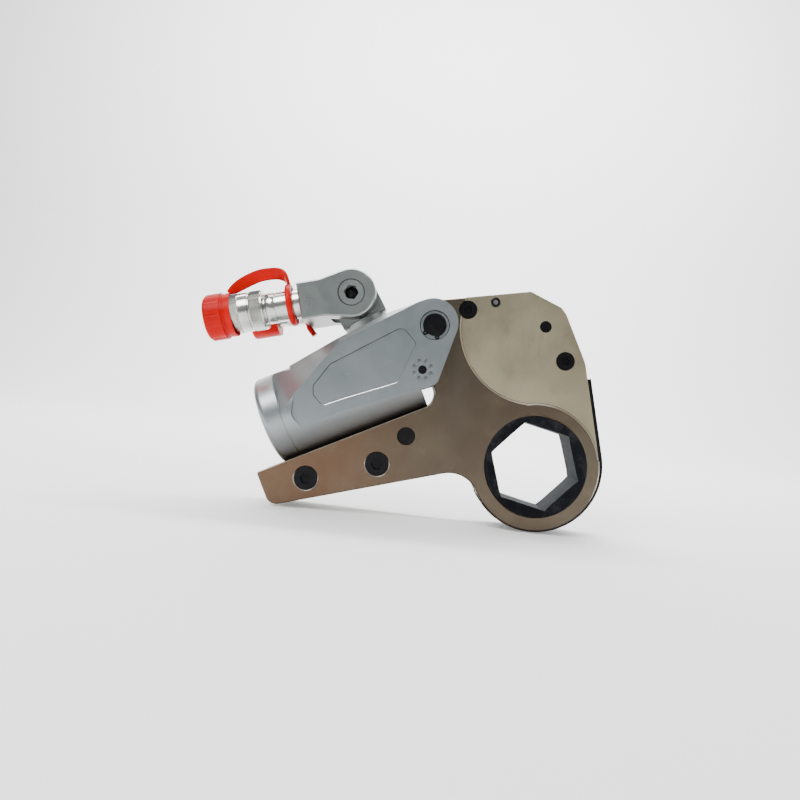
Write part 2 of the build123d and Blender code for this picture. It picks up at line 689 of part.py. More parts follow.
with BuildPart() as rod_end:
    blade = [
        (ROD_FRONT, AXIS_V - BLADE_HALF_H, 1.0),
        (PIN_UV[0] + BLADE_HALF_H, AXIS_V - BLADE_HALF_H, 9.0),
        (PIN_UV[0] + BLADE_HALF_H, AXIS_V + BLADE_HALF_H, 9.0),
        (ROD_FRONT, AXIS_V + BLADE_HALF_H, 1.0),
    ]
    slab(head(0, 0), blade, BLADE_HALF_T, both=True)
    bar(along(ROD_FRONT), ROD_STUD_R, -15.5)
    with BuildSketch(head(PIN_UV[0], AXIS_V, -BLADE_HALF_T)) as eye:
        SlotCenterToCenter(2 * SLOT_HALF_TRAVEL, 2 * (PIN_R + SLOT_RUN), rotation=90)
    extrude(eye.sketch, amount=2 * BLADE_HALF_T, mode=Mode.SUBTRACT)
rod_end.part.label = "rod_end"
export_step(rod_end.part, "parts/rod_end.step")

# Reaction pin, its circlips and the staked plugs
PIN_END = 32.6
CLIP_FROM = REACTION_FLOOR + 0.05
with BuildPart() as reaction_pin:
    bar(head(*REACTION_UV, -PIN_END), REACTION_R, 2 * PIN_END)
    chamfer(reaction_pin.edges(), 0.8)
    for near in (1, -1):
        groove = head(*REACTION_UV, near * (CLIP_FROM - 0.05))
        tube(groove, REACTION_R + 1, REACTION_R - 0.6, near * 1.3, Mode.SUBTRACT)
reaction_pin.part.label = "reaction_pin"
export_step(reaction_pin.part, "parts/reaction_pin.step")

with BuildPart() as circlips:
    for near in (1, -1):
        with BuildSketch(head(*REACTION_UV, near * CLIP_FROM)) as clip:
            Circle(8.9)
            with PolarLocations(9.2, 2, start_angle=197, angular_range=62, endpoint=True):
                Circle(1.7)
            Circle(REACTION_R - 0.5, mode=Mode.SUBTRACT)
            with PolarLocations(9.2, 2, start_angle=197, angular_range=62, endpoint=True):
                Circle(0.6, mode=Mode.SUBTRACT)
            with BuildLine():
                Polyline([(-2.0, -2.0), (-12.0, -6.4), (-10.0, -12.0), (-4.2, -12.0)], close=True)
            make_face(mode=Mode.SUBTRACT)
        extrude(clip.sketch, amount=near * 1.2)
circlips.part.label = "circlips"
export_step(circlips.part, "parts/circlips.step")

with BuildPart() as plugs:
    for near in (1, -1):
        bar(head(*PLUG_UV, near * (FLAT_HALF_W - 0.4)), 3.25, -near * 7.6)
plugs.part.label = "plugs"
export_step(plugs.part, "parts/plugs.step")

# Swivel post: disc, stem in the housing, lug with the pivot bore
with BuildPart() as swivel_post:
    bar(post(0), POST_DISC_R, POST_DISC_T)
    chamfer(swivel_post.edges().sort_by(Axis((0, 0, 0), (-S_POST, 0, C_POST)))[-1], 0.8)
    bar(post(0), POST_STEM_R, -POST_STEM + 0.5)
    tube(post(-7.0), POST_STEM_R + 1, POST_STEM_R - 1.0, -2.0, Mode.SUBTRACT)
    with BuildSketch(Plane(origin=(POST_X, 0, POST_Z), x_dir=(C_POST, 0, S_POST), z_dir=(0, -1, 0))) as lug:
        with Locations((0, PIVOT_UP)):
            Circle(ARM_R)
        with Locations((0, (POST_DISC_T + PIVOT_UP) / 2 - 0.5)):
            Rectangle(2 * ARM_R, PIVOT_UP - POST_DISC_T + 1)
    extrude(lug.sketch, amount=LUG_HALF_T, both=True)
    bar(side(*PIVOT, -LUG_HALF_T), PIVOT_R + RUN, 2 * LUG_HALF_T, Mode.SUBTRACT)
swivel_post.part.label = "swivel_post"
export_step(swivel_post.part, "parts/swivel_post.step")

with BuildPart() as post_ring:
    tube(post(-7.2), POST_STEM_R - 0.1, POST_STEM_R - 1.0, -1.6)
post_ring.part.label = "post_ring"
export_step(post_ring.part, "parts/post_ring.step")

# Tilting manifold: fork arms round the lug and the block that takes the couplers
BLOCK_FROM = 22.0
CORNER_REACH = (BLOCK_FROM**2 + BLOCK_HALF_H**2) ** 0.5
TOUCH_ANGLE = atan2(BLOCK_HALF_H, BLOCK_FROM) + acos(ARM_R / CORNER_REACH)
ARM_TOUCH = (ARM_R * cos(TOUCH_ANGLE), ARM_R * sin(TOUCH_ANGLE))
with BuildPart() as manifold:
    with BuildSketch(arm_side()) as arms:
        Circle(ARM_R)
        with BuildLine():
            Polyline(
                [ARM_TOUCH, (BLOCK_FROM, BLOCK_HALF_H), (BLOCK_END, BLOCK_HALF_H)],
                (BLOCK_END, -BLOCK_HALF_H),
                (BLOCK_FROM, -BLOCK_HALF_H),
                (ARM_TOUCH[0], -ARM_TOUCH[1]),
                close=True,
            )
        make_face()
    extrude(arms.sketch, amount=ARM_OUT, both=True)
    with BuildSketch(arm_side()) as fork:
        Circle(ARM_R + 0.9)
        with Locations((-10.0, 0)):
            Rectangle(30.0, 60.0)
        with Locations((BLOCK_BACK - 10.0, 0)):
            Rectangle(20.0, 60.0)
    extrude(fork.sketch, amount=ARM_IN, both=True, mode=Mode.SUBTRACT)
    bar(side(*PIVOT, -ARM_OUT), PIVOT_R, 2 * ARM_OUT, Mode.SUBTRACT)
    bar(side(*PIVOT, ARM_OUT), 10.25, -6.0, Mode.SUBTRACT)
    for y in (-COUPLER_Y, COUPLER_Y):
        bar(outlet(BLOCK_END, y), 8.0, -12.0, Mode.SUBTRACT)
    for near in (1, -1):
        outline = manifold.faces().filter_by(Axis.Y).sort_by(Axis.Y)[0 if near > 0 else -1]
        chamfer(outline.outer_wire().edges(), 1.2)
manifold.part.label = "manifold"
export_step(manifold.part, "parts/manifold.step")

with BuildPart() as pivot_bolt:
    bar(side(*PIVOT, -ARM_OUT + 1.0), PIVOT_R, 2 * ARM_OUT - 7.0)
    bar(side(*PIVOT, ARM_OUT - 6.0), 9.9, 5.9)
    chamfer(pivot_bolt.edges().sort_by(Axis.Y)[0], 0.5)
    key_hole(side(*PIVOT, ARM_OUT - 0.1), 10.0, -4.5)
pivot_bolt.part.label = "pivot_bolt"
export_step(pivot_bolt.part, "parts/pivot_bolt.step")

# Front coupler, the female half with the knurled sleeve
with BuildPart() as front_coupler:
    bar(outlet(BLOCK_END, -COUPLER_Y), NECK_R, 5.5)
    bar(outlet(BLOCK_END + 5.5, -COUPLER_Y), BODY_R, FRONT_BODY_END - BLOCK_END - 5.5)
    tube(outlet(BLOCK_END + 5.5, -COUPLER_Y), BODY_R + 1, BODY_R - 0.75, 3.2, Mode.SUBTRACT)
    tube(outlet(BODY_STEP, -COUPLER_Y), BODY_R + 1, BODY_R - 0.45, 0.9, Mode.SUBTRACT)
    for hand in (-1, 1):
        spot = outlet(FLAT_FROM, -COUPLER_Y + hand * (BODY_R + 1.1))
        with BuildSketch(spot) as spanner_flat:
            Rectangle(3.6, 30.0)
        extrude(spanner_flat.sketch, amount=FLAT_LONG, mode=Mode.SUBTRACT)
    bar(outlet(BLOCK_END, -COUPLER_Y), 8.0, -11.5)
    bar(outlet(BLOCK_END - 11.5, -COUPLER_Y), 5.0, 60.0, Mode.SUBTRACT)
    bar(outlet(FRONT_BODY_END, -COUPLER_Y), 8.6, -14.0, Mode.SUBTRACT)
front_coupler.part.label = "front_coupler"
export_step(front_coupler.part, "parts/front_coupler.step")


def knurl(plane, length):
    """Straight knurl: a toothed ring cut from a plain one."""
    with BuildSketch(plane) as teeth:
        with BuildLine():
            Polyline(
                [on_wheel(SLEEVE_R - 0.6 * (i % 2), i * 360 / 96) for i in range(96)], close=True
            )
        make_face()
    extrude(teeth.sketch, amount=length)


with BuildPart() as front_sleeve:
    bar(outlet(SLEEVE_FROM, -COUPLER_Y), SLEEVE_R - 0.7, SLEEVE_TO - SLEEVE_FROM)
    knurl(outlet(SLEEVE_FROM + 1.5, -COUPLER_Y), 8.5)
    knurl(outlet(SLEEVE_TO - 9.5, -COUPLER_Y), 8.0)
    bar(outlet(SLEEVE_FROM + 10.0, -COUPLER_Y), SLEEVE_R - 0.2, 9.9)
    bar(outlet(SLEEVE_FROM, -COUPLER_Y), BODY_R + RUN, 40.0, Mode.SUBTRACT)
front_sleeve.part.label = "front_sleeve"
export_step(front_sleeve.part, "parts/front_sleeve.step")

with BuildPart() as front_poppet:
    bar(outlet(FRONT_BODY_END - 13.9, -COUPLER_Y), 6.4, 3.0)
    bar(outlet(FRONT_BODY_END - 10.9, -COUPLER_Y), 4.0, 6.0)
front_poppet.part.label = "front_poppet"
export_step(front_poppet.part, "parts/front_poppet.step")

# Rear coupler, the male half
with BuildPart() as rear_coupler:
    bar(outlet(BLOCK_END, COUPLER_Y), NECK_R, 5.5)
    with BuildSketch(outlet(BLOCK_END + 5.5, COUPLER_Y)) as spanner:
        RegularPolygon(11.0, 6, major_radius=False)
    extrude(spanner.sketch, amount=12.0)
    bar(outlet(BLOCK_END + 17.5, COUPLER_Y), 10.5, REAR_BODY_END - BLOCK_END - 17.5)
    tube(outlet(REAR_BODY_END - 9.0, COUPLER_Y), 12.0, 9.2, 2.6, Mode.SUBTRACT)
    bar(outlet(BLOCK_END, COUPLER_Y), 8.0, -11.5)
    bar(outlet(BLOCK_END - 11.5, COUPLER_Y), 5.0, 60.0, Mode.SUBTRACT)
rear_coupler.part.label = "rear_coupler"
export_step(rear_coupler.part, "parts/rear_coupler.step")

with BuildPart() as rear_poppet:
    bar(outlet(REAR_BODY_END - 9.0, COUPLER_Y), 5.0, 6.0)
    bar(outlet(REAR_BODY_END - 3.0, COUPLER_Y), 3.4, 2.6)
rear_poppet.part.label = "rear_poppet"
export_step(rear_poppet.part, "parts/rear_poppet.step")

# Dust caps and their straps
CAP_WALL_FLOOR = 100.0
CAP_SKIRT = 99.0
FLUTES = 10


def fluted(plane, radius, length):
    """Cap wall with shallow finger flutes round it."""
    with BuildSketch(plane) as wall:
        Circle(radius)
        with PolarLocations(radius + 4.6, FLUTES):
            Circle(5.0, mode=Mode.SUBTRACT)
    extrude(wall.sketch, amount=length)


with BuildPart() as front_cap:
    bar(outlet(FRONT_CAP[0], -COUPLER_Y), FRONT_CAP[2] - 1.0, FRONT_CAP[1] - FRONT_CAP[0] - 2.4)
    fluted(outlet(CAP_SKIRT + 1.4, -COUPLER_Y), FRONT_CAP[2], FRONT_CAP[1] - CAP_SKIRT - 3.8)
    bar(outlet(FRONT_CAP[1] - 2.4, -COUPLER_Y), FRONT_CAP[2] - 1.0, 2.4)
    fillet(front_cap.edges().sort_by(Axis((0, 0, 0), (-C_ARM, 0, -S_ARM)))[-1], 2.0)
    tube(outlet(CAP_SKIRT - 2.2, -COUPLER_Y), FRONT_CAP[2], FRONT_CAP[2] - 1.6, 2.0, Mode.SUBTRACT)
    bar(outlet(FRONT_CAP[0], -COUPLER_Y), SLEEVE_R + 0.4, CAP_WALL_FLOOR - FRONT_CAP[0], Mode.SUBTRACT)
    bar(outlet(CAP_WALL_FLOOR, -COUPLER_Y), 8.2, -8.0)
front_cap.part.label = "front_cap"
export_step(front_cap.part, "parts/front_cap.step")

with BuildPart() as rear_cap:
    bar(outlet(REAR_CAP[0], COUPLER_Y), REAR_CAP[2], REAR_CAP[1] - REAR_CAP[0])
    fillet(rear_cap.edges().sort_by(Axis((0, 0, 0), (-C_ARM, 0, -S_ARM)))[-1], 2.0)
    bar(outlet(REAR_CAP[0], COUPLER_Y), 10.9, REAR_BODY_END + 0.2 - REAR_CAP[0], Mode.SUBTRACT)
rear_cap.part.label = "rear_cap"
export_step(rear_cap.part, "parts/rear_cap.step")

STRAP_T = 2.6
with BuildPart() as front_strap:
    tube(outlet(45.5, -COUPLER_Y), 16.5, NECK_R + 0.26, 3.6)
    contour = [
        (45.5, 12.4, 0),
        (45.5, 19.0, 3.0),
        (54.0, 29.0, 6.0),
        (69.0, 31.0, 12.0),
        (93.0, 22.5, 0),
        (93.0, 16.3, 0),
        (79.9, 19.0, 6.0),
        (68.5, 21.5, 12.0),
        (54.0, 21.3, 4.0),
        (49.1, 14.5, 2.0),
        (49.1, 12.4, 0),
    ]
    slab(arm_side(-COUPLER_Y), contour, STRAP_T / 2, both=True)
front_strap.part.label = "front_strap"
export_step(front_strap.part, "parts/front_strap.step")

with BuildPart() as rear_strap:
    tube(outlet(40.8, COUPLER_Y), 15.0, NECK_R, 2.6)
    tab = [
        (40.8, -12.0, 0),
        (40.8, -15.0, 1.0),
        (37.4, -21.2, 0.8),
        (39.9, -22.0, 0.8),
        (43.4, -14.5, 0),
        (43.4, -12.0, 0),
    ]
    slab(arm_side(COUPLER_Y), tab, 4.5, both=True)
    band = [
        (40.8, COUPLER_Y + 12.5, 0),
        (40.8, COUPLER_Y + 18.0, 2.0),
        (47.0, COUPLER_Y + 23.0, 6.0),
        (58.0, COUPLER_Y + 22.5, 6.0),
        (66.0, COUPLER_Y + 17.6, 0),
        (66.0, COUPLER_Y + 12.6, 0),
        (57.0, COUPLER_Y + 17.8, 5.0),
        (48.0, COUPLER_Y + 18.2, 5.0),
        (43.4, COUPLER_Y + 13.8, 1.0),
        (43.4, COUPLER_Y + 12.5, 0),
    ]
    slab(arm_top(), band, STRAP_T / 2, both=True)
rear_strap.part.label = "rear_strap"
export_step(rear_strap.part, "parts/rear_strap.step")
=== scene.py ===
import bpy
import math
from mathutils import Matrix, Vector
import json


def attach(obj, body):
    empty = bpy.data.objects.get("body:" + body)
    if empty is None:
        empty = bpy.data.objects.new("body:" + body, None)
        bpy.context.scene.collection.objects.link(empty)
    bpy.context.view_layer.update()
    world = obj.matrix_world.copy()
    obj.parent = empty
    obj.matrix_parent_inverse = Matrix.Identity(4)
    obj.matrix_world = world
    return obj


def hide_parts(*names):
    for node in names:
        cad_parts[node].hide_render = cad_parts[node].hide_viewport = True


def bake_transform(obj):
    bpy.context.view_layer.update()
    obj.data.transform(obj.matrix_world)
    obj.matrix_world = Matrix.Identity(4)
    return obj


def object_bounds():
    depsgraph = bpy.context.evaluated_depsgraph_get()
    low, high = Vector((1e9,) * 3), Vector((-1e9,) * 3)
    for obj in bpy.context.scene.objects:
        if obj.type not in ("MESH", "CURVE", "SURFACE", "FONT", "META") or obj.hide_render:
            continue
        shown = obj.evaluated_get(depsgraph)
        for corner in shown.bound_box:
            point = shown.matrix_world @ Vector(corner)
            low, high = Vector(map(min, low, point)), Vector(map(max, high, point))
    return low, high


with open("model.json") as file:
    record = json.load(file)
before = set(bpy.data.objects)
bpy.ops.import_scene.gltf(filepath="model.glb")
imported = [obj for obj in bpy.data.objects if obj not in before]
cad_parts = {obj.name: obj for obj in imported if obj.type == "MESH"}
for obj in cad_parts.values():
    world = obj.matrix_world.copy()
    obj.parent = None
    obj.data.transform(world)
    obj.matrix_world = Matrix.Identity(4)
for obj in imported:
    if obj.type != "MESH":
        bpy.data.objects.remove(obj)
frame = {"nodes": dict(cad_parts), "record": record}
joints = {joint["name"]: joint for joint in frame["record"]["behaviour"]["joints"]}
cad_lo, cad_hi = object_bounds()

# Shared places: the swivel arm dips from its pivot, and the cylinder rises along ALONG
MM = 0.001
ARM_DIP = math.radians(15)
CYLINDER_RISE = math.radians(27)
PIVOT = Vector(joints["swivel_tilt"]["pos_m"])
OUT = Vector((-math.cos(ARM_DIP), 0.0, -math.sin(ARM_DIP)))
UP = Vector((-math.sin(ARM_DIP), 0.0, math.cos(ARM_DIP)))
SIDE = Vector((0.0, 1.0, 0.0))
ALONG = Vector((math.cos(CYLINDER_RISE), 0.0, math.sin(CYLINDER_RISE)))
ACROSS = Vector((-math.sin(CYLINDER_RISE), 0.0, math.cos(CYLINDER_RISE)))

# Middles of the two couplers, in millimetres to the rear
FRONT_Y = -18.5
REAR_Y = 18.5


def arm(s, w, y):
    """A point s out from the pivot, w up and y to the rear, in millimetres."""
    return PIVOT + (OUT * s + UP * w + SIDE * y) * MM


def head(u, v, y):
    """A point u along the cylinder, v across it and y to the rear, in millimetres."""
    return (ALONG * u + ACROSS * v + SIDE * y) * MM


# Materials: the colour sockets of a mix node have numbers only
MIX_BELOW, MIX_OVER, MIX_RESULT = 6, 7, 2


class Recipe:
    """A node material built from procedural layers in object coordinates."""

    def __init__(self, name, color, metallic, rough):
        self.mat = bpy.data.materials.new(name)
        self.mat.use_nodes = True
        self.tree = self.mat.node_tree
        self.shader = self.tree.nodes["Principled BSDF"]
        self.shader.inputs["Base Color"].default_value = (*color, 1)
        self.shader.inputs["Metallic"].default_value = metallic
        self.shader.inputs["Roughness"].default_value = rough
        places = self.node("ShaderNodeTexCoord")
        self.coord = places.outputs["Object"]
        self.normal = places.outputs["Normal"]
        self.height = None
        self.base = None

    def node(self, kind, **values):
        made = self.tree.nodes.new(kind)
        for key, value in values.items():
            setattr(made, key, value)
        return made

    def join(self, a, b):
        self.tree.links.new(a, b)

    def stretch(self, scale, turn=0.0):
        m = self.node("ShaderNodeMapping")
        m.inputs["Scale"].default_value = scale
        m.inputs["Rotation"].default_value = (0, turn, 0)
        self.join(self.coord, m.inputs["Vector"])
        return m.outputs["Vector"]

    def noise(self, size, detail=4.0, vector=None, rough=0.5):
        n = self.node("ShaderNodeTexNoise")
        n.inputs["Scale"].default_value = size
        n.inputs["Detail"].default_value = detail
        n.inputs["Roughness"].default_value = rough
        self.join(vector or self.coord, n.inputs["Vector"])
        return n.outputs["Fac"]

    def ramp(self, source, stops):
        r = self.node("ShaderNodeValToRGB")
        elements = r.color_ramp.elements
        while len(elements) < len(stops):
            elements.new(0.5)
        for e, (place, shade) in zip(elements, stops):
            e.position = place
            e.color = (*shade, 1) if isinstance(shade, tuple) else (shade, shade, shade, 1)
        self.join(source, r.inputs["Fac"])
        return r.outputs["Color"]

    def part(self, vector, axis, unsigned=False):
        """One coordinate of a vector, without its sign if unsigned."""
        split = self.node("ShaderNodeSeparateXYZ")
        self.join(vector, split.inputs["Vector"])
        if not unsigned:
            return split.outputs[axis]
        size = self.node("ShaderNodeMath", operation="ABSOLUTE")
        self.join(split.outputs[axis], size.inputs[0])
        return size.outputs[0]

    def share(self, source, start, end):
        """0 to 1 as a source goes from start to end."""
        span = self.node("ShaderNodeMapRange")
        span.inputs["From Min"].default_value = start
        span.inputs["From Max"].default_value = end
        self.join(source, span.inputs["Value"])
        return span.outputs["Result"]

    def reach(self, axis, start, end, both_sides=False):
        """0 to 1 along one object axis; both_sides reads the distance from the middle."""
        return self.share(self.part(self.coord, axis, both_sides), start, end)

    def facing(self):
        """How squarely a face looks to the front or the rear, 0 to 1."""
        return self.part(self.normal, "Y", True)

    def upward(self, start, end):
        """0 to 1 as the upward part of a face's normal goes from start to end."""
        return self.share(self.part(self.normal, "Z"), start, end)

    def times(self, a, b):
        product = self.node("ShaderNodeMath", operation="MULTIPLY")
        self.join(a, product.inputs[0])
        self.join(b, product.inputs[1])
        return product.outputs[0]

    def mixer(self, fac, shade):
        """Makes a mix with a shade the base colour, and returns the socket of what lies below."""
        mix = self.node("ShaderNodeMix", data_type="RGBA")
        self.join(fac, mix.inputs["Factor"])
        mix.inputs[MIX_OVER].default_value = (*shade, 1)
        self.base = mix.outputs[MIX_RESULT]
        self.join(self.base, self.shader.inputs["Base Color"])
        return mix.inputs[MIX_BELOW]

    def tint(self, fac, low, high):
        """First layer: two shades mixed by a 0..1 source."""
        self.mixer(fac, high).default_value = (*low, 1)

    def layer(self, fac, shade):
        """A further shade over the colour so far, as strong as a 0..1 source says."""
        below = self.base
        self.join(below, self.mixer(fac, shade))

    def roughness(self, fac, low, high):
        span = self.node("ShaderNodeMapRange")
        span.inputs["To Min"].default_value = low
        span.inputs["To Max"].default_value = high
        self.join(fac, span.inputs["Value"])
        self.join(span.outputs["Result"], self.shader.inputs["Roughness"])

    def bump(self, fac, distance, strength=1.0):
        b = self.node("ShaderNodeBump")
        b.inputs["Strength"].default_value = strength
        b.inputs["Distance"].default_value = distance
        self.join(fac, b.inputs["Height"])
        if self.height is not None:
            self.join(self.height, b.inputs["Normal"])
        self.height = b.outputs["Normal"]
        self.join(self.height, self.shader.inputs["Normal"])


def plate_steel():
    """Bronze toned coat, redder at the tail, with painted light: painted shade through the middle,
    a paler recess by painted reflection, painted highlights on the bevels, and painted shade at
    their foot and where they face down.
    """
    r = Recipe("plate_steel", (0.20, 0.155, 0.115), 0.95, 0.36)
    r.tint(r.reach("X", -0.20, 0.05), (0.150, 0.086, 0.052), (0.110, 0.092, 0.067))
    # Painted shade: darker through the middle of the plates
    middle = r.ramp(r.reach("X", -0.16, 0.02), [(0.10, 0.0), (0.50, 0.55), (0.95, 0.0)])
    r.layer(middle, (0.080, 0.076, 0.061))
    # Painted reflection: the recess paler, with painted shade darkening it towards the right
    recess = r.ramp(r.reach("Y", 0.0190, 0.0215, True), [(0.21, 1.0), (0.26, 0.0)])
    r.layer(recess, (0.50, 0.450, 0.305))
    shaded = r.ramp(r.reach("X", -0.045, 0.035), [(0.30, 0.0), (1.0, 0.40)])
    r.layer(r.times(recess, shaded), (0.26, 0.215, 0.140))
    cloud = r.ramp(r.noise(26.0, 4.0), [(0.40, 0.0), (0.70, 0.38)])
    r.layer(cloud, (0.175, 0.148, 0.104))
    blot = r.ramp(r.noise(55.0, 6.0, rough=0.7), [(0.58, 0.0), (0.82, 0.45)])
    r.layer(blot, (0.235, 0.165, 0.100))
    # Painted highlight: the bevels brighter
    bevel = r.ramp(r.facing(), [(0.45, 0.0), (0.55, 1.0), (0.85, 1.0), (0.93, 0.0)])
    r.layer(bevel, (0.62, 0.56, 0.47))
    # Painted shade: a dark line on the bevel at the foot of the step
    foot = r.ramp(r.reach("Y", 0.0190, 0.0215, True), [(0.30, 1.0), (0.38, 0.0)])
    r.layer(r.times(bevel, foot), (0.012, 0.010, 0.008))
    # Painted shade: bevels that face down darker
    r.layer(r.times(bevel, r.upward(-0.10, -0.35)), (0.040, 0.024, 0.017))
    grain = r.noise(30.0, 3.0, r.stretch((60.0, 40.0, 3.0), 0.12))
    r.roughness(grain, 0.26, 0.46)
    r.bump(grain, 0.00004, 0.5)
    r.bump(r.noise(900.0, 3.0), 0.00003, 0.4)
    return r.mat


def alloy(name, low, high, rough, bevel_highlight=False, metal=0.88):
    """Blasted light metal in random clouds and scuffs, with painted shade making it browner
    underneath and a painted highlight making it paler on top; an optional flag paints highlights
    on the bevels.
    """
    r = Recipe(name, low, metal, 0.4)
    cloud = r.ramp(r.noise(22.0, 3.0), [(0.30, 0.0), (0.70, 1.0)])
    r.tint(cloud, low, high)
    scuff = r.ramp(r.noise(70.0, 5.0, r.stretch((1.0, 3.0, 5.0), 0.6)), [(0.64, 0.0), (0.74, 0.5)])
    r.layer(scuff, tuple(c * 1.25 for c in high))
    # Painted shade: faces that look down browner and darker
    shade = r.ramp(r.upward(-0.05, -0.80), [(0.0, 0.0), (1.0, 0.85)])
    r.layer(shade, (0.075, 0.056, 0.044))
    # Painted highlight: faces that look up paler
    top_highlight = r.ramp(r.upward(0.15, 0.60), [(0.0, 0.0), (1.0, 0.60)])
    r.layer(top_highlight, (0.62, 0.65, 0.66))
    if bevel_highlight:
        # Painted highlight: the bevels brighter
        bevel = r.ramp(r.facing(), [(0.45, 0.0), (0.55, 0.75), (0.85, 0.75), (0.93, 0.0)])
        r.layer(bevel, tuple(min(1.0, c * 1.3) for c in high))
    r.roughness(r.noise(160.0, 5.0), rough - 0.07, rough + 0.09)
    r.bump(r.noise(2200.0, 2.0), 0.00005, 0.55)
    return r.mat


def black_steel():
    r = Recipe("black_steel", (0.006, 0.006, 0.007), 0.35, 0.33)
    wear = r.ramp(r.noise(120.0, 6.0, rough=0.7), [(0.56, 0.0), (0.78, 0.5)])
    r.tint(wear, (0.004, 0.004, 0.005), (0.030, 0.028, 0.026))
    r.shader.inputs["Specular IOR Level"].default_value = 0.22
    r.roughness(r.noise(260.0, 4.0), 0.24, 0.46)
    r.bump(r.noise(1500.0, 3.0), 0.00004, 0.5)
    return r.mat


def wheel_steel():
    """Dark phosphate coat of the ratchet wheel, worn lighter in random patches, with a painted
    bluish reflection on the faces that run along its axis, the nut flats among them.
    """
    r = Recipe("wheel_steel", (0.010, 0.011, 0.013), 0.0, 0.6)
    worn = r.ramp(r.noise(70.0, 6.0, r.stretch((1.0, 0.3, 1.0)), 0.7), [(0.50, 0.0), (0.72, 0.6)])
    r.tint(worn, (0.007, 0.008, 0.010), (0.045, 0.046, 0.050))
    r.shader.inputs["Specular IOR Level"].default_value = 0.03
    # Painted reflection: faces that run along the wheel's axis bluish
    axial_face_reflection = r.ramp(r.facing(), [(0.25, 1.0), (0.45, 0.0)])
    r.layer(axial_face_reflection, (0.022, 0.027, 0.031))
    r.roughness(r.noise(200.0, 4.0), 0.50, 0.70)
    r.bump(r.noise(1300.0, 3.0), 0.00004, 0.5)
    return r.mat


def bright_steel():
    r = Recipe("bright_steel", (0.60, 0.60, 0.57), 1.0, 0.16)
    smear = r.ramp(r.noise(60.0, 4.0), [(0.35, 0.0), (0.75, 1.0)])
    r.tint(smear, (0.46, 0.46, 0.43), (0.68, 0.68, 0.65))
    tool_marks = r.noise(40.0, 2.0, r.stretch((90.0, 4.0, 4.0), -0.26))
    r.roughness(tool_marks, 0.10, 0.28)
    r.bump(tool_marks, 0.00003, 0.4)
    return r.mat


def cap_rubber(name, low, high):
    r = Recipe(name, low, 0.0, 0.36)
    cloud = r.ramp(r.noise(60.0, 3.0), [(0.3, 0.0), (0.7, 1.0)])
    r.tint(cloud, low, high)
    r.shader.inputs["Specular IOR Level"].default_value = 0.10
    r.roughness(r.noise(300.0, 4.0), 0.26, 0.40)
    r.bump(r.noise(1100.0, 3.0), 0.00006, 0.4)
    return r.mat


def bronze():
    r = Recipe("bronze", (0.50, 0.31, 0.12), 0.95, 0.34)
    r.tint(r.noise(90.0, 4.0), (0.42, 0.25, 0.09), (0.58, 0.38, 0.17))
    r.roughness(r.noise(300.0), 0.25, 0.45)
    r.bump(r.noise(900.0), 0.00003, 0.4)
    return r.mat


def seal_rubber():
    r = Recipe("seal_rubber", (0.015, 0.015, 0.016), 0.0, 0.5)
    r.tint(r.noise(150.0), (0.012, 0.012, 0.013), (0.030, 0.030, 0.032))
    r.roughness(r.noise(400.0), 0.42, 0.62)
    r.bump(r.noise(900.0), 0.00004, 0.4)
    return r.mat


def spring_steel():
    r = Recipe("spring_steel", (0.45, 0.45, 0.46), 1.0, 0.25)
    r.tint(r.noise(180.0), (0.36, 0.36, 0.37), (0.55, 0.55, 0.55))
    r.roughness(r.noise(500.0), 0.18, 0.34)
    r.bump(r.noise(1500.0), 0.00002, 0.4)
    return r.mat


finishes = {
    "plate_steel": plate_steel(),
    "housing_alloy": alloy("housing_alloy", (0.235, 0.268, 0.276), (0.31, 0.343, 0.35), 0.33),
    "swivel_alloy": alloy("swivel_alloy", (0.23, 0.258, 0.248), (0.30, 0.33, 0.318), 0.33),
    "black_steel": black_steel(),
    "bright_steel": bright_steel(),
    "cap_rubber": cap_rubber("cap_rubber", (0.40, 0.0003, 0.0002), (0.54, 0.0005, 0.0004)),
    "bronze": bronze(),
    "seal_rubber": seal_rubber(),
    "spring_steel": spring_steel(),
}
pocket_finish = alloy("pocket_alloy", (0.215, 0.243, 0.25), (0.28, 0.308, 0.314), 0.42)
# Painted highlight: a near-white finish for the dimple bowls
dimple_highlight_finish = alloy("dimple_painted_highlight", (0.90, 0.92, 0.93), (0.97, 0.98, 0.99), 0.30, metal=0.0)

# Two nodes have a finish of their own, and the rest take that of their slot
own = {
    "ratchet": wheel_steel(),
    # The manifold's finish paints highlights on its bevels
    "manifold": alloy(
        "manifold_alloy", (0.23, 0.258, 0.248), (0.30, 0.33, 0.318), 0.30, bevel_highlight=True
    ),
}
slots = {s["node"]: s["material_slot"] for s in frame["record"]["subparts"]}
for node, obj in frame["nodes"].items():
    obj.data.materials.clear()
    obj.data.materials.append(own.get(node, finishes[slots[node]]))


# Mesh helpers
def mesh_piece(name, verts, faces, material, body, smooth=True):
    data = bpy.data.meshes.new(name)
    data.from_pydata([tuple(v) for v in verts], [], faces)
    data.validate()
    data.update()
    if smooth:
        for p in data.polygons:
            p.use_smooth = True
    obj = bpy.data.objects.new(name, data)
    bpy.context.scene.collection.objects.link(obj)
    data.materials.append(material)
    if body:
        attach(obj, body)
    return obj


def belt(faces, start, level, count):
    """Adds the faces between one closed row of vertices and the next."""
    for k in range(count):
        a = start + level * count + k
        b = start + level * count + (k + 1) % count
        faces.append((a, b, b + count, a + count))


def ribbon(name, stations, material, body, sides=16, power=0.35):
    """A band through stations of centre, width axis, thickness axis and the half of each size."""
    verts, faces = [], []
    for centre, wide, thick, hw, ht in stations:
        for k in range(sides):
            a = 2 * math.pi * k / sides
            c, s = math.cos(a), math.sin(a)
            cx = math.copysign(abs(c) ** power, c)
            sx = math.copysign(abs(s) ** power, s)
            verts.append(centre + wide * (hw * cx) + thick * (ht * sx))
    count = len(stations)
    for i in range(count - 1):
        belt(faces, 0, i, sides)
    faces.append(tuple(range(sides))[::-1])
    faces.append(tuple((count - 1) * sides + k for k in range(sides)))
    return mesh_piece(name, verts, faces, material, body)


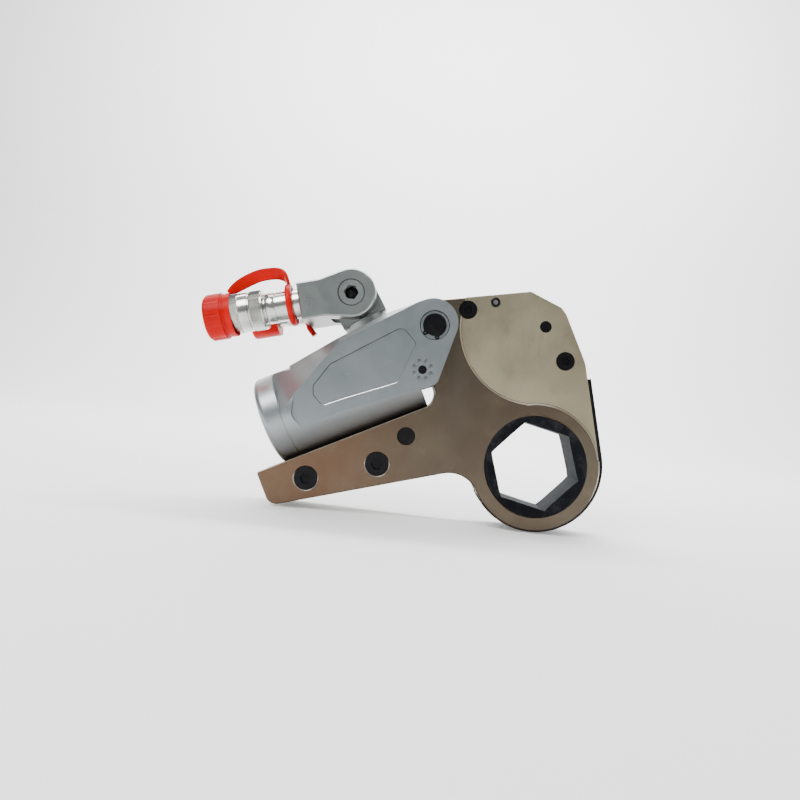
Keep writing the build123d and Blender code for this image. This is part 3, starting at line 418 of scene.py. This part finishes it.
def turned(name, origin, axis, profile, material, body, steps=72):
    """A ring about an axis from its section's (along, radius) corners, in millimetres."""
    axis = axis.normalized()
    first = axis.orthogonal().normalized()
    second = axis.cross(first)
    verts, faces = [], []
    n = len(profile)
    for k in range(steps):
        a = 2 * math.pi * k / steps
        ray = first * math.cos(a) + second * math.sin(a)
        for along, radius in profile:
            verts.append(origin + axis * (along * MM) + ray * (radius * MM))
    for k in range(steps):
        m = (k + 1) % steps
        for j in range(n):
            faces.append((k * n + j, k * n + (j + 1) % n, m * n + (j + 1) % n, m * n + j))
    return mesh_piece(name, verts, faces, material, body)


# Cap straps: edge-on where they leave their rings, then turned over to the caps
def smooth_path(points, spans):
    """Smooth stations through (s, w, y, twist, half width) points."""
    stations = []
    last = len(points) - 1
    for i in range(last):
        corners = (points[max(i - 1, 0)], points[i], points[i + 1], points[min(i + 2, last)])
        for k in range(spans):
            t = k / spans
            row = []
            for a, b, c, d in zip(*corners):
                bend = 2 * a - 5 * b + 4 * c - d
                curl = 3 * b - a - 3 * c + d
                row.append(0.5 * (2 * b + (c - a) * t + bend * t * t + curl * t**3))
            stations.append(row)
    stations.append(list(points[-1]))
    return stations


def strap(name, points, flat, thick, replaced):
    """A moulded band; flat is the plane normal it shows broadside at twist 90."""
    path = smooth_path(points, STRAP_SPANS)
    centres = [arm(s, w, y) for s, w, y, _, _ in path]
    rows = []
    for i, (s, w, y, twist, half) in enumerate(path):
        run = (centres[min(i + 1, len(path) - 1)] - centres[max(i - 1, 0)]).normalized()
        across = run.cross(flat).normalized()
        a = math.radians(twist)
        wide = flat * math.cos(a) + across * math.sin(a)
        rows.append((centres[i], wide, run.cross(wide).normalized(), half * MM, thick * MM / 2))
    band = ribbon(name, rows, finishes["cap_rubber"], None)
    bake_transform(band)
    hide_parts(replaced)


# Places along each strap: s, w, y, twist in degrees and half width
STRAP_T = 2.6
STRAP_SPANS = 8
front_points = [
    (47.4, 12.4, FRONT_Y, 0, 4.8),
    (48.0, 17.2, FRONT_Y, 8, 4.8),
    (50.0, 22.2, FRONT_Y, 30, 4.8),
    (54.0, 25.6, FRONT_Y, 66, 4.6),
    (61.0, 26.7, FRONT_Y, 88, 4.8),
    (69.0, 26.6, FRONT_Y, 90, 4.9),
    (77.0, 24.8, FRONT_Y, 90, 4.9),
    (85.0, 22.0, FRONT_Y, 90, 4.6),
    (90.5, 19.4, FRONT_Y, 90, 3.8),
    (95.0, 16.8, FRONT_Y, 90, 2.4),
]
strap(
    "front_strap_band",
    front_points,
    SIDE,
    STRAP_T,
    "front_strap",
)
rear_points = [
    (41.8, 0.0, 33.2, 0, 4.3),
    (43.4, 0.0, 36.3, 10, 4.3),
    (48.0, -0.5, 37.7, 20, 4.3),
    (56.0, -1.0, 37.3, 35, 4.2),
    (62.0, -0.5, 35.8, 40, 4.0),
    (66.6, 0.0, 34.6, 60, 3.0),
]
strap(
    "rear_strap_band",
    rear_points,
    UP,
    STRAP_T,
    "rear_strap",
)

# Rings that hold the straps, and the pull tab of the rear one
RING_EDGE = 0.7
rings = (
    ("front_strap_ring", arm(48.1, 0, FRONT_Y), OUT, (11.9, 16.2, -2.2, 2.2)),
    ("rear_strap_ring", arm(42.2, 0, REAR_Y), OUT + UP * 0.02, (11.75, 15.2, -1.5, 1.5)),
)
for name, centre, axis, (inner, outer, back, front) in rings:
    section = [(back, inner), (front, inner)]
    section += [(front, outer - RING_EDGE), (front - RING_EDGE, outer)]
    section += [(back + RING_EDGE, outer), (back, outer - RING_EDGE)]
    ring = turned(name, centre, axis, section, finishes["cap_rubber"], "manifold")

# Places down the tab: s, w and half width
tab_points = (
    (42.1, -12.6, 5.2),
    (41.9, -15.2, 5.6),
    (40.6, -17.6, 5.8),
    (39.4, -20.0, 5.4),
    (38.7, -21.4, 4.0),
)
TAB_HALF_T = 2.2
tab_lean = (OUT - UP * 0.4).normalized()
tab_rows = []
for s, w, half in tab_points:
    tab_rows.append((arm(s, w, REAR_Y), SIDE, tab_lean, half * MM, TAB_HALF_T * MM))
tab = ribbon("rear_strap_tab", tab_rows, finishes["cap_rubber"], "manifold")


# Painted shade: the floor of the pivot bolt's socket, black
SOCKET_R = 4.8
SOCKET_Y = (-29.0, -29.3)
socket_rows = []
for y in SOCKET_Y:
    socket_rows.append((arm(0, 0, y), OUT, UP, SOCKET_R * MM, SOCKET_R * MM))
socket = ribbon(
    "bolt_socket_shade", socket_rows, finishes["black_steel"], "manifold", sides=24, power=1.0
)


# Sleeve of the front coupler with its two bands of fine diamond knurl
KNURL_R = 15.5
KNURL_DEEP = 0.42
KNURL_PITCH = 0.55
SLEEVE_STEPS = 192


def knurl_band(start, rows):
    """Section points whose last value, 1 or 2, says which diamonds of the row are cut."""
    return [(start + KNURL_PITCH * i, KNURL_R, 1 + i % 2) for i in range(rows)]


def knurled_sleeve():
    """Profile points are along, radius and the kind of knurl, 0 for none."""
    profile = [(68.4, 11.9, 0), (68.4, 14.8, 0), (68.8, 15.2, 0), (69.9, 15.2, 0)]
    profile += knurl_band(69.9, 16)
    profile += [(78.6, 14.9, 0), (79.0, 14.7, 0), (79.8, 14.7, 0)]
    profile += [(80.2, 15.25, 0), (87.2, 15.25, 0), (87.7, 14.8, 0)]
    profile += knurl_band(88.3, 15)
    profile += [(96.5, 15.3, 0), (97.4, 15.3, 0), (97.8, 15.0, 0), (97.8, 11.9, 0)]
    verts, faces = [], []
    n = len(profile)
    for k in range(SLEEVE_STEPS):
        a = 2 * math.pi * k / SLEEVE_STEPS
        ray = UP * math.cos(a) + SIDE * math.sin(a)
        for s, radius, kind in profile:
            cut = KNURL_DEEP if kind and (k + kind) % 2 else 0.0
            verts.append(arm(s, 0, FRONT_Y) + ray * ((radius - cut) * MM))
    for k in range(SLEEVE_STEPS):
        m = (k + 1) % SLEEVE_STEPS
        for j in range(n):
            faces.append((k * n + j, m * n + j, m * n + (j + 1) % n, k * n + (j + 1) % n))
    steel = finishes["bright_steel"]
    return mesh_piece("sleeve_knurled", verts, faces, steel, "sleeve", smooth=False)


# Plain band over the spanner flats, which the photo doesn't show
coupler_band = turned(
    "coupler_band",
    arm(0, 0, FRONT_Y),
    OUT,
    [(59.7, 11.2), (59.7, 11.8), (60.0, 12.0), (66.7, 12.0), (67.0, 11.8), (67.0, 11.2)],
    finishes["bright_steel"],
    "manifold",
)

sleeve = knurled_sleeve()
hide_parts("front_sleeve")


# Pawl spring: a coil whose lower end sits at the pawl and whose upper end reaches the lever
def pawl_coil():
    lift = joints["pawl_lift"]
    axis = Vector(lift["axis"]).normalized()
    seat_deep, long, pitch, radius, wire = (size * MM for size in (3.4, 18.8, 2.6, 3.3, 0.6))
    foot = Vector(lift["pos_m"]) - axis * seat_deep
    per_turn = 24
    rows = []
    for i in range(int(per_turn * long / pitch) + 1):
        a = 2 * math.pi * i / per_turn
        ray = SIDE * math.cos(a) + axis.cross(SIDE) * math.sin(a)
        run = (axis.cross(ray) * radius + axis * (pitch / (2 * math.pi))).normalized()
        centre = foot + axis * (pitch * i / per_turn) + ray * radius
        rows.append((centre, ray, run.cross(ray), wire, wire))
    coil = ribbon("pawl_spring_coil", rows, finishes["spring_steel"], None, sides=8, power=1.0)
    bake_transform(coil)
    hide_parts("pawl_spring")


pawl_coil()


# Pocket floors on both sides of the cylinder, a finer blasted finish than the milled flats
FLAT_Y = 32.5
POCKET_Y = 32.16
ROUND_STEPS = 6
FLOOR_SHARES = (0.997, 0.96, 0.80, 0.55, 0.25)


def pocket_outline():
    """The pocket's corners as u, v and how far each is rounded, walked as points."""
    corners = (
        (-135.5, 119.0, 2.5),
        (-117.5, 129.5, 5.0),
        (-56.0, 136.0, 6.5),
        (-51.0, 120.0, 3.0),
        (-75.0, 97.8, 4.0),
        (-118.0, 101.2, 5.0),
        (-134.5, 101.9, 5.0),
        (-138.0, 112.0, 4.0),
    )
    points = []
    count = len(corners)
    for i, (u, v, r) in enumerate(corners):
        here = Vector((u, v))
        back = (Vector(corners[i - 1][:2]) - here).normalized()
        onward = (Vector(corners[(i + 1) % count][:2]) - here).normalized()
        reach = r / math.tan(back.angle(onward) / 2)
        p0, p1 = here + back * reach, here + onward * reach
        for k in range(ROUND_STEPS + 1):
            t = k / ROUND_STEPS
            points.append(p0 * (1 - t) ** 2 + here * 2 * t * (1 - t) + p1 * t * t)
    return points


pocket_ring = pocket_outline()
pocket_count = len(pocket_ring)
pocket_sums = (sum(p.x for p in pocket_ring), sum(p.y for p in pocket_ring))
pocket_middle = Vector(pocket_sums) / pocket_count

for name, y, flip in (("pocket_front", -POCKET_Y, False), ("pocket_rear", POCKET_Y, True)):
    verts, faces = [], []
    for share in FLOOR_SHARES:
        for p in pocket_ring:
            q = pocket_middle + (p - pocket_middle) * share
            verts.append(head(q.x, q.y, y))
    verts.append(head(pocket_middle.x, pocket_middle.y, y))
    for level in range(len(FLOOR_SHARES) - 1):
        belt(faces, 0, level, pocket_count)
    inner = (len(FLOOR_SHARES) - 1) * pocket_count
    for k in range(pocket_count):
        faces.append((inner + k, inner + (k + 1) % pocket_count, len(verts) - 1))
    if not flip:
        faces = [f[::-1] for f in faces]
    floor_piece = mesh_piece(name, verts, faces, pocket_finish, "frame", smooth=False)


# Polished edge of each pocket, and a black line of painted shade at its foot where the edge
# doesn't face down
FACES_DOWN = -0.55
EDGE_SECTION = ((0.55, 0.01), (0.40, 0.06), (0.15, 0.03), (-0.38, -0.31))
outward_ways = []
for k, p in enumerate(pocket_ring):
    run = (pocket_ring[(k + 1) % pocket_count] - pocket_ring[k - 1]).normalized()
    across = Vector((run.y, -run.x))
    outward_ways.append(across if across.dot(p - pocket_middle) > 0 else -across)

for name, outward in (("pocket_edge_front", -1), ("pocket_edge_rear", 1)):
    verts, faces = [], []
    for shift, lift in EDGE_SECTION:
        for p, away in zip(pocket_ring, outward_ways):
            q = p + away * shift
            verts.append(head(q.x, q.y, outward * (FLAT_Y + lift)))
    for level in range(len(EDGE_SECTION) - 1):
        belt(faces, 0, level, pocket_count)
    if outward > 0:
        faces = [f[::-1] for f in faces]
    edge = mesh_piece(name, verts, faces, finishes["bright_steel"], "frame", smooth=False)
    # Painted shade: the foot band black where the wall doesn't face down
    edge.data.materials.append(finishes["black_steel"])
    for polygon in edge.data.polygons:
        upper = outward_ways[polygon.index % pocket_count].y > FACES_DOWN
        if polygon.index >= 2 * pocket_count and upper:
            polygon.material_index = 1


# Polished bowls of the eight dimples round each plug, painted near white as a highlight, each with
# an inner rim painted black as shade
PLUG_UV = (-54.1, 100.1)
DIMPLE_CIRCLE = 6.9
DIMPLE_R = 1.62
DIMPLE_DEEP = 0.75
DIMPLE_Y = 32.47
DIMPLE_SIDES = 16
DIMPLES = 8
BOWL_ROWS = 5
RIM_SECTION = ((1.42, -0.10), (1.68, 0.06), (1.92, 0.035))


def dimple_places():
    places = []
    for k in range(DIMPLES):
        a = math.radians(360 * k / DIMPLES)
        u = PLUG_UV[0] + DIMPLE_CIRCLE * math.cos(a)
        v = PLUG_UV[1] + DIMPLE_CIRCLE * math.sin(a)
        places.append((u, v))
    return places


def circle_row(u0, v0, radius, y):
    row = []
    for j in range(DIMPLE_SIDES):
        a = 2 * math.pi * j / DIMPLE_SIDES
        row.append(head(u0 + radius * math.cos(a), v0 + radius * math.sin(a), y))
    return row


for name, y, inward in (("dimples_front", -DIMPLE_Y, 1), ("dimples_rear", DIMPLE_Y, -1)):
    verts, faces = [], []
    for u0, v0 in dimple_places():
        start = len(verts)
        for level in range(BOWL_ROWS):
            share = 1.0 - level / BOWL_ROWS
            depth = DIMPLE_DEEP * (1 - share**2)
            verts += circle_row(u0, v0, DIMPLE_R * share, y + inward * depth)
        verts.append(head(u0, v0, y + inward * DIMPLE_DEEP))
        for level in range(BOWL_ROWS - 1):
            belt(faces, start, level, DIMPLE_SIDES)
        low = start + (BOWL_ROWS - 1) * DIMPLE_SIDES
        for j in range(DIMPLE_SIDES):
            faces.append((low + j, low + (j + 1) % DIMPLE_SIDES, low + DIMPLE_SIDES))
    bowl_faces = len(faces)
    for u0, v0 in dimple_places():
        start = len(verts)
        for radius, lift in RIM_SECTION:
            verts += circle_row(u0, v0, radius, y - inward * lift)
        for level in range(len(RIM_SECTION) - 1):
            belt(faces, start, level, DIMPLE_SIDES)
    if inward < 0:
        faces = [f[::-1] for f in faces]
    bowls = mesh_piece(name, verts, faces, dimple_highlight_finish, "frame")
    bowls.data.materials.append(finishes["black_steel"])
    # Painted shade: the inner band of each rim black
    for polygon in bowls.data.polygons:
        rim_face = polygon.index - bowl_faces
        if rim_face >= 0 and rim_face % (2 * DIMPLE_SIDES) < DIMPLE_SIDES:
            polygon.material_index = 1


# Shaded foot of the counterbores round the reaction pin
PIN_UV = (-33.3, 128.1)
BORE_FLOOR_Y = 31.02
for name, outward in (("bore_foot_front", -1), ("bore_foot_rear", 1)):
    foot_ring = turned(
        name,
        head(*PIN_UV, outward * BORE_FLOOR_Y),
        SIDE * outward,
        [(0.0, 10.75), (0.12, 10.75), (0.6, 11.28), (0.0, 11.28)],
        finishes["black_steel"],
        "frame",
    )


# Dark seat round the ball plunger
PLUNGER = Vector((-0.0428, -0.0200, 0.1227))
seat = turned(
    "plunger_seat",
    PLUNGER,
    -SIDE,
    [(0.0, 1.7), (0.32, 2.1), (0.32, 3.6), (0.0, 3.7)],
    finishes["black_steel"],
    "frame",
)


# Stage, light and camera
FLOOR_DROP = 0.0002
FLOOR_HALF_W = 4.0
FLOOR_FROM = -3.0
SWEEP_FROM = 1.2
SWEEP_R = 0.8
SWEEP_STEPS = 12
WALL_TOP = 4.0
floor_z = cad_lo.z - FLOOR_DROP
floor_mat = bpy.data.materials.new("floor_paper")
floor_mat.use_nodes = True
floor_shader = floor_mat.node_tree.nodes["Principled BSDF"]
floor_shader.inputs["Base Color"].default_value = (0.92, 0.92, 0.92, 1)
floor_shader.inputs["Roughness"].default_value = 0.75
floor_shader.inputs["Emission Color"].default_value = (1.0, 1.0, 1.0, 1)
floor_shader.inputs["Emission Strength"].default_value = 0.22
verts, faces = [], []
profile = [(FLOOR_FROM, 0.0), (SWEEP_FROM, 0.0)]
for k in range(1, SWEEP_STEPS + 1):
    a = math.radians(90 * k / SWEEP_STEPS)
    profile.append((SWEEP_FROM + SWEEP_R * math.sin(a), SWEEP_R - SWEEP_R * math.cos(a)))
profile.append((SWEEP_FROM + SWEEP_R, WALL_TOP))
for y, z in profile:
    verts += [(-FLOOR_HALF_W, y, floor_z + z), (FLOOR_HALF_W, y, floor_z + z)]
for i in range(len(profile) - 1):
    faces.append((2 * i, 2 * i + 1, 2 * i + 3, 2 * i + 2))
floor = mesh_piece("backdrop", verts, faces, floor_mat, None)


def lamp(name, place, target, size, power, tone=(1, 1, 1)):
    data = bpy.data.lights.new(name, "AREA")
    data.shape = "RECTANGLE"
    data.size, data.size_y = size
    data.energy = power
    data.color = tone
    obj = bpy.data.objects.new(name, data)
    obj.location = place
    obj.rotation_mode = "QUATERNION"
    obj.rotation_quaternion = (Vector(target) - Vector(place)).to_track_quat("-Z", "Y")
    bpy.context.scene.collection.objects.link(obj)


middle = (-0.1, 0.0, 0.05)
lamp("key", (-0.6, -0.75, 0.95), middle, (0.7, 0.6), 15.0)
lamp("fill", (0.9, -0.7, 0.45), middle, (0.5, 0.7), 3.0, (1.0, 0.93, 0.82))
lamp("top", (-0.1, 0.25, 1.1), middle, (1.2, 0.7), 12.0)
lamp("wall_wash", (0.0, 0.7, 1.7), (0.0, 2.0, 0.5), (2.4, 0.5), 110.0)

world = bpy.data.worlds.new("studio")
bpy.context.scene.world = world
world.use_nodes = True
world.node_tree.nodes["Background"].inputs["Color"].default_value = (0.93, 0.95, 1.0, 1)
world.node_tree.nodes["Background"].inputs["Strength"].default_value = 0.34

# Camera fitted to the middles of eleven bolts, pins and rings seen in the photo
side_way = Vector((0.994517, 0.019890, 0.102663))
true_up = Vector((-0.102500, -0.009086, 0.994692))
ahead = true_up.cross(side_way)
cam_data = bpy.data.cameras.new("camera")
cam_data.lens = 30.906
cam_data.sensor_width = 36.0
cam_data.clip_start = 0.01
cam = bpy.data.objects.new("camera", cam_data)
turn = Matrix((side_way, true_up, -ahead)).transposed()
cam.rotation_mode = "QUATERNION"
cam.rotation_quaternion = turn.to_quaternion()
cam.location = (-0.09743, -0.54936, 0.03663)
bpy.context.scene.collection.objects.link(cam)
bpy.context.scene.camera = cam
